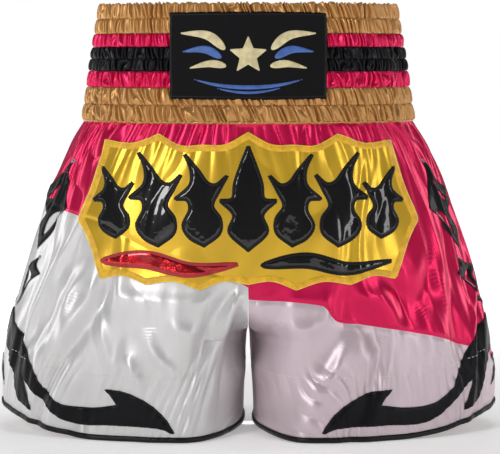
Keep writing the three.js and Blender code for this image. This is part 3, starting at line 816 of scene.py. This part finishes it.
def finish_waistband():
    """The lining inside the gathers, the folded lower edge and the elastics."""
    z = np.linspace(BODY_HEIGHT, TOTAL_HEIGHT - 1 * MM, LINING_ROWS)[:, None]
    points = ring_points(z, LINING_LIFT + 0.55 * MM * pleat(2, z))
    faces = grid_faces(LINING_ROWS, BAND_COLUMNS, True)
    lining = add_piece("band_lining", points, faces, LINING, ["waistband_lining"])
    rows = [f"elastic_row_{row}" for row in range(1, 9)]
    turn = np.linspace(0, np.pi, WELT_ROWS)[:, None]
    z = BODY_HEIGHT + 0.2 * MM + WELT_HALF_HEIGHT * np.cos(turn)
    gathers = pleat(7, z) * MM
    points = ring_points(z + 0.25 * gathers, 0.2 * MM + (WELT_RADIUS + 0.5 * gathers) * np.sin(turn))
    add_piece("band_welt", points, grid_faces(WELT_ROWS, BAND_COLUMNS, True, True), GOLD)
    for row in rows:
        frame["nodes"][row].material_slots[0].material = ELASTIC


def make_waistband():
    row = 0
    for name, (material, rows) in STRIPS.items():
        low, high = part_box(f"waistband_{name}")
        points = strip_points(low.z, high.z, row, rows)
        faces = grid_faces(len(points), BAND_COLUMNS, True, True)
        strip = add_piece(f"band_{name}", points, faces, material, [f"waistband_{name}"])
        row += rows
    finish_waistband()


make_waistband()

# -------- panels

PANEL_COLUMNS = 300
PANEL_STEP = 0.9 * MM
EASE = 1.06  # how much wider the pattern is cut than the body it goes round


def smooth_size(t, z):
    """The width, length and area of a panel's pattern: the smooth body under it, laid flat."""
    points = section(t, z)
    across = np.linalg.norm(np.diff(points, axis=1), axis=-1)
    up = np.linalg.norm(np.diff(points, axis=0), axis=-1)
    width, length = across.sum(1).max(), up.sum(0).max()
    flat = (float(width * EASE), float(length))
    area = float((across[1:] * up[:, 1:]).sum() * EASE)
    return flat, min(area, flat[0] * flat[1])


def make_panels():
    for leg, side in SIDES.items():
        for quarter, (start, end) in {"front": (0, 0.5), "back": (0.5, 1)}.items():
            t = np.linspace(start, end, PANEL_COLUMNS)[None]
            line = colour_height(side, t)
            spans = {"upper": (line, BODY_HEIGHT + 0 * t), "lower": (hem_height(t), line)}
            for part, (low, high) in spans.items():
                rows = int(np.max(high - low) / PANEL_STEP)
                v = np.linspace(0, 1, rows)[:, None]
                z = mix(low, high, v)
                points = cloth(side, t, z)
                faces = grid_faces(rows, PANEL_COLUMNS, flip=side < 0)
                name = f"{leg}_{quarter}_{part}"
                # The left leg's white panels get the pink-tinted white satin, a painted reflection of
                # the pink cloth.
                white = WHITE if side < 0 else WHITE_WITH_PAINTED_REFLECTION
                material, slot = (PINK, "pink_satin") if part == "upper" else (white, "white_satin")
                panel = add_piece(name, points, faces, material, [f"{name}_panel"], slot)
                flat, area = smooth_size(t, z)


FACING_HEIGHT = 56 * MM
FACING_LIFT = -2.6 * MM
FACING_ROWS = 50
# The binding's section round the edge, as (outwards, up) in mm.
BINDING_SECTION = [
    (-3.3, 4.6), (-3.8, 3.2), (-3.7, 1.4), (-3.0, 0.35), (-1.4, 0.02), (0.2, 0.02),
    (1.2, 0.35), (1.75, 1.4), (1.75, 3.2), (1.2, 4.6), (0.4, 4.9),
]


def make_hems():
    columns = 2 * PANEL_COLUMNS
    t = np.linspace(0, 1, columns)
    v = np.linspace(0, 1, FACING_ROWS)[:, None]
    z = hem_height(t) + mix(1 * MM, FACING_HEIGHT, v)
    for leg, side in SIDES.items():
        points = cloth(side, t, z, FACING_LIFT)
        faces = grid_faces(FACING_ROWS, columns, flip=side > 0)
        facing = add_piece(f"{leg}_facing", points, faces, LINING, [f"{leg}_hem_facing"])
        flat, area = smooth_size(t, z)
        rings = []
        for lift, rise in BINDING_SECTION:
            height = hem_height(t) + rise * MM
            ring = cloth(side, t, height, lift * MM)
            ring[:, 2] = height
            rings.append(ring)
        faces = grid_faces(len(rings), columns, flip=side < 0)
        add_piece(f"{leg}_binding", rings, faces, BINDING, [f"{leg}_hem_binding"])


# -------- seams

HEM_STITCH_RADIUS, SEAM_STITCH_RADIUS = 0.26 * MM, 0.24 * MM
BINDING_STITCH_HEIGHT = 7.2 * MM
COLOUR_STITCH_OFFSET, CENTRE_STITCH_OFFSET = 2.6 * MM, 2.2 * MM
CENTRE_STITCH_FOOT = CROTCH_HEIGHT + 34 * MM
BLADE_SPAN = (34 * MM, 57 * MM)  # from the side seam, where the facing's stitches cross a hem blade


def on_side(side, towards, from_hem):
    """Puts (distance from the side seam, height above the ground or the hem) on the cloth."""

    def place(forward, z, lift, hung=True):
        t = round_t(forward, z)
        t = t if towards > 0 else 1 - t
        return cloth(side, t, z + hem_height(t) if from_hem else z, lift, hung)

    return place


def add_stitches(name, lines, radius, material, slot):
    points, faces = joined([stitch_row(line, radius) for line in lines])
    add_piece(name, points, faces, material, slot=slot)


def make_stitches():
    t = np.linspace(0.004, 0.996, 1500)
    across_blade = np.linspace(*BLADE_SPAN, 80)
    for leg, side in SIDES.items():
        hems = [
            cloth(side, t, hem_height(t) + rise, 0.2 * MM)
            for rise in (BINDING_STITCH_HEIGHT, FACING_HEIGHT)
        ]
        for towards in (1, -1):
            place = on_side(side, towards, True)
            hems.append(place(across_blade, FACING_HEIGHT + 0 * across_blade, 1.25 * MM))
        name = f"{leg}_hem_stitches"
        add_stitches(name, hems, HEM_STITCH_RADIUS, WHITE_THREAD, "white_satin")
        line = cloth(side, t, colour_height(side, t) + COLOUR_STITCH_OFFSET, 0.2 * MM)
        name = f"{leg}_colour_stitches"
        add_stitches(name, [line], SEAM_STITCH_RADIUS, PINK_THREAD, "pink_satin")
    z = np.linspace(CENTRE_STITCH_FOOT, BODY_HEIGHT - 2 * MM, 600)
    front = front_t(0 * z + CENTRE_STITCH_OFFSET, z)
    centre = [cloth(1, t, z, 0.25 * MM) for t in (front, 1 - front)]
    add_stitches("centre_stitches", centre, SEAM_STITCH_RADIUS, PINK_THREAD, "pink_satin")


make_panels()
make_hems()
make_stitches()

# -------- sewn-on pieces

FLAT_SPACING = 1.6 * MM
NARROWEST_SHEET = 10 * MM


def polygon_area(outline):
    x, y = outline.T
    return abs(float(np.dot(x, np.roll(y, -1)) - np.dot(y, np.roll(x, -1)))) / 2


def cut_size(outline, area):
    """The rectangle a piece was cut from, or for a long curved piece the strip of its own area."""
    across, up = (float(span) for span in np.ptp(outline, axis=0))
    across *= area / polygon_area(outline)
    if area > 0.32 * across * up:
        return (across, up), area
    length = float(np.linalg.norm(outline - np.roll(outline, -1, 0), axis=1).sum() / 2)
    return (area / length, length), None


def sew(name, outline, place, material, replaces, lift, height, roll, on, holes=()):
    """Cuts a piece to a flat outline in metres and lays it on the cloth."""
    points, faces, cut_area = applique(outline, place, lift, height, roll, FLAT_SPACING, holes)
    obj = add_piece(name, points, faces, material, replaces)
    flat, area = cut_size(outline, cut_area)
    if min(flat) >= NARROWEST_SHEET:
        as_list(on)


def edge(name, outline, place, material, lift, width, height, slot=None, replaces=()):
    """A band of satin stitch along a closed outline."""
    points, faces = satin_stitch(outline, place, lift, width, height)
    add_piece(name, points, faces, material, replaces, slot)


def inset(outline, distance):
    """A closed outline moved inwards."""
    shift = sideways(unit(np.roll(outline, -2, 0) - np.roll(outline, 2, 0))) * distance
    grown = polygon_area(outline + shift) > polygon_area(outline)
    return outline - shift if grown else outline + shift


def scaled(path, across=MM):
    """A path in metres, from heights in mm and the given unit across."""
    return [(x * across, z * MM) for x, z in path]


def both_halves(runs):
    """An outline's runs on one half, then their mirror image on the way back."""
    return runs + [[(-x, z) for x, z in run[::-1]] for run in runs[::-1]]


ORNAMENT_WIDTH = 146 * MM  # half of the whole
# Tips of the backing, as [share of the half width, mm above the middle], and how far the edge
# between two tips sags towards the middle.
FIELD_TIPS = [
    (0, 68), (0.27, 57), (0.52, 66), (0.84, 60), (1, -6), (1, -10), (0.87, -58), (0.6, -62),
    (0.28, -66), (0, -61),
]
TIP_SAG = 5
# Outlines as runs of [share of the half width, mm above the middle], from corner to corner.
FLAME = [
    [(-0.014, -30), (-0.108, -19), (-0.115, -6), (-0.066, 6), (-0.108, 20), (-0.156, 33)],
    [(-0.156, 33), (-0.09, 25), (-0.032, 27), (0.024, 38), (0.107, 52)],
    [(0.107, 52), (0.066, 38), (0.074, 24), (0.162, 12)],
    [(0.162, 12), (0.09, 11), (0.074, 2), (0.115, -12), (0.074, -23), (-0.014, -30)],
]
FLAME_PLACES = {"inner": (0.27, 0.94), "middle": (0.54, 0.96), "outer": (0.79, 0.74)}  # x, size
HALF_SPEAR = [
    [(0, -32), (0.108, -17), (0.084, -2), (0.162, 10)],
    [(0.162, 10), (0.09, 12), (0.074, 27), (0, 56)],
]
WING = [(0.08, -45), (0.34, -41), (0.58, -48.5), (0.84, -43)]
SWOOSH = [(-0.86, -43), (-0.6, -41), (-0.34, -49), (-0.06, -44)]


def on_front(x, z, lift, hung=True):
    """Points in front of the body, from (across, height above the ornament's middle)."""
    x, z, lift = np.broadcast_arrays(x, ORNAMENT_Z + z, lift)
    t = front_t(x, z)
    left, right = (cloth(side, t, z, lift, hung) for side in (1, -1))
    return np.where((x >= 0)[..., None], left, right)


def field_runs():
    half = []
    for (x0, z0), (x1, z1) in zip(FIELD_TIPS, FIELD_TIPS[1:]):
        sag = -TIP_SAG if z0 + z1 > 0 else TIP_SAG
        middle = ((x0 + x1) / 2, (z0 + z1) / 2 + (sag if x0 != x1 else 0))
        half.append([(x0, z0), middle, (x1, z1)])
    return both_halves(half)


FIELD_LIFT = 0.7 * MM
MOTIF_LIFT = 1.2 * MM
OUTLINE_STEP = 0.7 * MM


def ornament_outline(runs):
    return cornered([scaled(run, ORNAMENT_WIDTH) for run in runs], OUTLINE_STEP)


def add_motif(name, outline, material, edging, stands_for):
    sew(name, outline, on_front, material, [stands_for], MOTIF_LIFT, 0.8 * MM, 1.6 * MM,
        ["ornament_backing"])
    edge(f"{name}_edge", outline, on_front, edging, MOTIF_LIFT + 0.1 * MM, 3.4 * MM, 0.7 * MM,
         material.name.split(".")[0])


def make_ornament():
    field = ornament_outline(field_runs())
    sew("ornament_backing", field, on_front, YELLOW, ["ornament_field"], FIELD_LIFT, 0.6 * MM,
        1.0 * MM, ["left_front_upper", "right_front_upper"])
    edge("ornament_border", inset(field, 2.6 * MM), on_front, MUSTARD, FIELD_LIFT + 0.5 * MM,
         5.4 * MM, 0.9 * MM, replaces=["ornament_stitch_top", "ornament_stitch_foot"])
    edge("ornament_rim", inset(field, 0.2 * MM), on_front, YELLOW_THREAD, FIELD_LIFT + 0.3 * MM,
         1.3 * MM, 0.8 * MM, "mustard_thread")
    for name, (at, size) in FLAME_PLACES.items():
        for hand, way in SIDES.items():
            runs = [[(way * (at + x * size), z * size) for x, z in run] for run in FLAME]
            stands_for = f"ornament_flame_{name}_{hand}"
            add_motif(f"flame_{name}_{hand}", ornament_outline(runs), VINYL, BLACK_THREAD, stands_for)
    spear = ornament_outline(both_halves(HALF_SPEAR))
    add_motif("ornament_spear_piece", spear, VINYL, BLACK_THREAD, "ornament_spear")
    for name, path, material, edging, width in (
        ("wing", WING, VINYL, BLACK_THREAD, 11),
        ("swoosh", SWOOSH, RED_FOIL, RED_THREAD, 13),
    ):
        outline = blade_outline(scaled(path, ORNAMENT_WIDTH), width * MM, 0.4, OUTLINE_STEP)
        add_motif(f"sweep_{name}", outline, material, edging, f"ornament_{name}")


make_ornament()

# -------- label patch

PATCH_HALF = (66 * MM, 37 * MM)
PATCH_MIDDLE = TOTAL_HEIGHT - 8 * MM - PATCH_HALF[1]
PATCH_LIFT = 2.4 * MM
PATCH_RISE = 3.2 * MM
STAR_RADIUS = 17
POINT_STEP = 0.5 * MM
# Middle lines in mm from the patch's middle, and the widest width.
FEATHERS = {
    "upper": ([(19, 5), (34, 17), (58, 19)], 8),
    "middle": ([(22, -2), (36, 5), (56, 3)], 7),
    "lower": ([(18, -9), (32, -7), (50, -11)], 6.5),
}
ARCS = [([(-50, -19), (-26, -25), (0, -27), (26, -25), (50, -19)], 3.6),
        ([(-33, -26), (-16, -30), (0, -31.5), (16, -30), (33, -26)], 2.4)]


def on_band(x, z, lift, hung=True):
    """Points in front of the waistband, from places on the patch."""
    z = z + PATCH_MIDDLE
    return smooth_points(np.where(x < 0, -1, 1), front_t(x, z), z, lift)


def embroider(name, outline, material, replaces=()):
    lift = PATCH_LIFT + PATCH_RISE - 0.05 * MM
    points, faces, _ = applique(outline, on_band, lift, 0.7 * MM, 0.9 * MM, 0.8 * MM)
    add_piece(name, points, faces, material, replaces)


def make_patch():
    w, h = PATCH_HALF
    bow = 0.6 * MM
    sides = [[(-w, h), (0, h + bow), (w, h)], [(w, h), (w + bow, 0), (w, -h)],
             [(w, -h), (0, -h - bow), (-w, -h)], [(-w, -h), (-w - bow, 0), (-w, h)]]
    outline = cornered(sides, 1 * MM)
    sew("patch", outline, on_band, PATCH, ["label_patch"], PATCH_LIFT, PATCH_RISE, 1.6 * MM,
        ["band_gold_top", "band_black_middle"])
    rim = inset(outline, 2.4 * MM)
    rim_lift = PATCH_LIFT + PATCH_RISE - 0.1 * MM
    edge("patch_rim", rim, on_band, BLACK_THREAD, rim_lift, 1.2 * MM, 0.4 * MM, "patch_cloth")
    turns = np.arange(11) * np.pi / 5 + np.pi / 2
    reach = np.where(np.arange(11) % 2, 0.45, 1) * STAR_RADIUS * MM
    star = np.stack([np.cos(turns) * reach, np.sin(turns) * reach], -1)
    rays = [[a, (a + b) / 2, b] for a, b in zip(star, star[1:])]
    embroider("patch_star", cornered(rays, POINT_STEP), CREAM, ["label_star"])
    for hand, way in SIDES.items():
        for name, (path, width) in FEATHERS.items():
            outline = blade_outline(scaled(path, way * MM), width * MM, 0.35, POINT_STEP)
            replaces = [f"label_bar_{hand}"] if name == "middle" else []
            material = BLUE if name == "middle" else CREAM
            embroider(f"patch_feather_{name}_{hand}", outline, material, replaces)
    for i, (path, width) in enumerate(ARCS):
        outline = blade_outline(scaled(path), width * MM, 0.5, POINT_STEP)
        embroider(f"patch_arc_{i + 1}", outline, BLUE)


make_patch()

# -------- side trims

# Outlines as runs of (mm from the side seam, mm up), the blade's from the hem.
HEM_BLADE = [
    [(0.2, 85), (44, 72), (63, 50), (70, 36)],
    [(70, 36), (85, 27), (103, 27), (118, 31)],
    [(118, 31), (115, 38), (111, 44)],
    [(111, 44), (122, 42), (133, 33), (140.5, 21), (145, 8)],
    [(145, 8), (137, 13), (113, 14), (89, 13), (72, 24), (53, 40)],
    [(53, 40), (61, 13)],
    [(61, 13), (48, 16)],
    [(48, 16), (31, 47), (0.2, 67)],
    [(0.2, 67), (0.2, 85)],
]
CLAW, CLAW_WIDTH = [(6, 66), (10, 52), (24, 38)], 7 * MM
SIDE_FLAMES = {
    "upper": [
        [(44, 241), (33, 226), (24, 218), (12, 214)],
        [(12, 214), (22, 204), (32, 192)],
        [(32, 192), (26, 178), (30, 160)],
        [(30, 160), (44, 178), (46, 190), (57, 198)],
        [(57, 198), (50, 213), (44, 228), (44, 241)],
    ],
    "lower": [
        [(38, 156), (30, 150), (14, 144)],
        [(14, 144), (24, 136), (20, 124), (8, 108)],
        [(8, 108), (26, 118), (33, 132), (44, 140)],
        [(44, 140), (36, 147), (38, 156)],
    ],
}
# Long holes cut in the flames, as (middle line, width).
FLAME_HOLES = {
    "upper": [([(27, 205), (35, 210), (41, 222)], 6.5), ([(34, 174), (41, 188), (49, 197)], 6)],
    "lower": [([(27, 142), (31, 136), (27, 125)], 4)],
}
TRIM_LAYER = (0.5 * MM, 0.6 * MM, 0.9 * MM)  # lift, height and edge roll


def make_side_trims():
    for leg, side in SIDES.items():
        for facing, towards in (("front", 1), ("back", -1)):
            above_hem, beside_seam = on_side(side, towards, True), on_side(side, towards, False)
            start = f"{leg}_{facing}"
            on = [f"{start}_lower"]
            outline = cornered([scaled(run) for run in HEM_BLADE], 0.9 * MM)
            stands_for = [f"{leg}_hem_blade_{facing}"]
            sew(f"{start}_hem_blade_piece", outline, above_hem, BLACK, stands_for, *TRIM_LAYER, on)
            edge(f"{start}_hem_blade_edge", outline, above_hem, BLACK_THREAD, 0.6 * MM, 1.5 * MM,
                 0.5 * MM, "black_satin")
            claw = blade_outline(scaled(CLAW), CLAW_WIDTH, 0.4)
            stands_for = [f"{leg}_claw_{facing}"]
            sew(f"{start}_claw_piece", claw, beside_seam, BLACK, stands_for, *TRIM_LAYER, on)
            for part, runs in SIDE_FLAMES.items():
                outline = cornered([scaled(run) for run in runs], 0.8 * MM)
                name = f"{start}_flame_{part}"
                holes = [blade_outline(scaled(path), w * MM, 0.45) for path, w in FLAME_HOLES[part]]
                stands_for = [f"{leg}_flame_{part}_{facing}"]
                sew(name, outline, beside_seam, BLACK, stands_for, *TRIM_LAYER, on, holes)
                edge(f"{name}_outline", inset(outline, -1.3 * MM), beside_seam, SILVER, 0.3 * MM,
                     0.9 * MM, 0.5 * MM, "white_satin")


make_side_trims()

LABEL_ROWS, LABEL_COLUMNS = 24, 20


def make_care_label():
    """A folded tape that hangs inside the back of the waist."""
    low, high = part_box("care_label")
    v = np.linspace(0, 1, LABEL_ROWS)[:, None]
    u = np.linspace(0, 1, LABEL_COLUMNS)[None]
    middle = (low.y + high.y) / 2
    for layer, name in ((-1, "care_label_front"), (1, "care_label_back")):
        curl = 1.6 * MM * np.sin(2.2 * u + 0.4) * v + 0.5 * MM * np.sin(9 * u + 4 * v)
        y = middle + layer * (0.15 + 0.35 * v) * MM - curl
        points = np.stack([mix(low.x, high.x, u) + 0 * v, y, mix(high.z, low.z, v) + 0 * u], -1)
        faces = grid_faces(LABEL_ROWS, LABEL_COLUMNS)
        label = add_piece(name, points, faces, LABEL, ["care_label"] if layer < 0 else [])


make_care_label()

# -------- floor

FLOOR_RINGS = (0.01, 0.5, 1.5, 6.0)
FLOOR_DROP = 0.2 * MM
GLOW = {"From Min": 0.3, "From Max": 1.3, "To Min": 0.30, "To Max": 1.0}  # by distance: its own light


def make_floor():
    turn = np.linspace(0, 2 * np.pi, 64, endpoint=False)
    rings = [
        np.stack([np.cos(turn) * r, np.sin(turn) * r, 0 * turn - FLOOR_DROP], -1) for r in FLOOR_RINGS
    ]
    paint = Paint("floor", (0.92, 0.92, 0.92), 0.8)
    paint.shader.inputs["Emission Color"].default_value = (1, 1, 1, 1)
    distance = paint.node("ShaderNodeVectorMath", operation="LENGTH")
    paint.wire(paint.position, distance.inputs[0])
    spread = paint.node("ShaderNodeMapRange")
    for socket, value in GLOW.items():
        spread.inputs[socket].default_value = value
    paint.wire(distance.outputs["Value"], spread.inputs["Value"])
    paint.wire(spread.outputs["Result"], paint.shader.inputs["Emission Strength"])
    faces = grid_faces(len(rings), len(turn), True, True)
    new_object("floor", mesh_of("floor", rings, faces, paint.material))


make_floor()
make_lights()
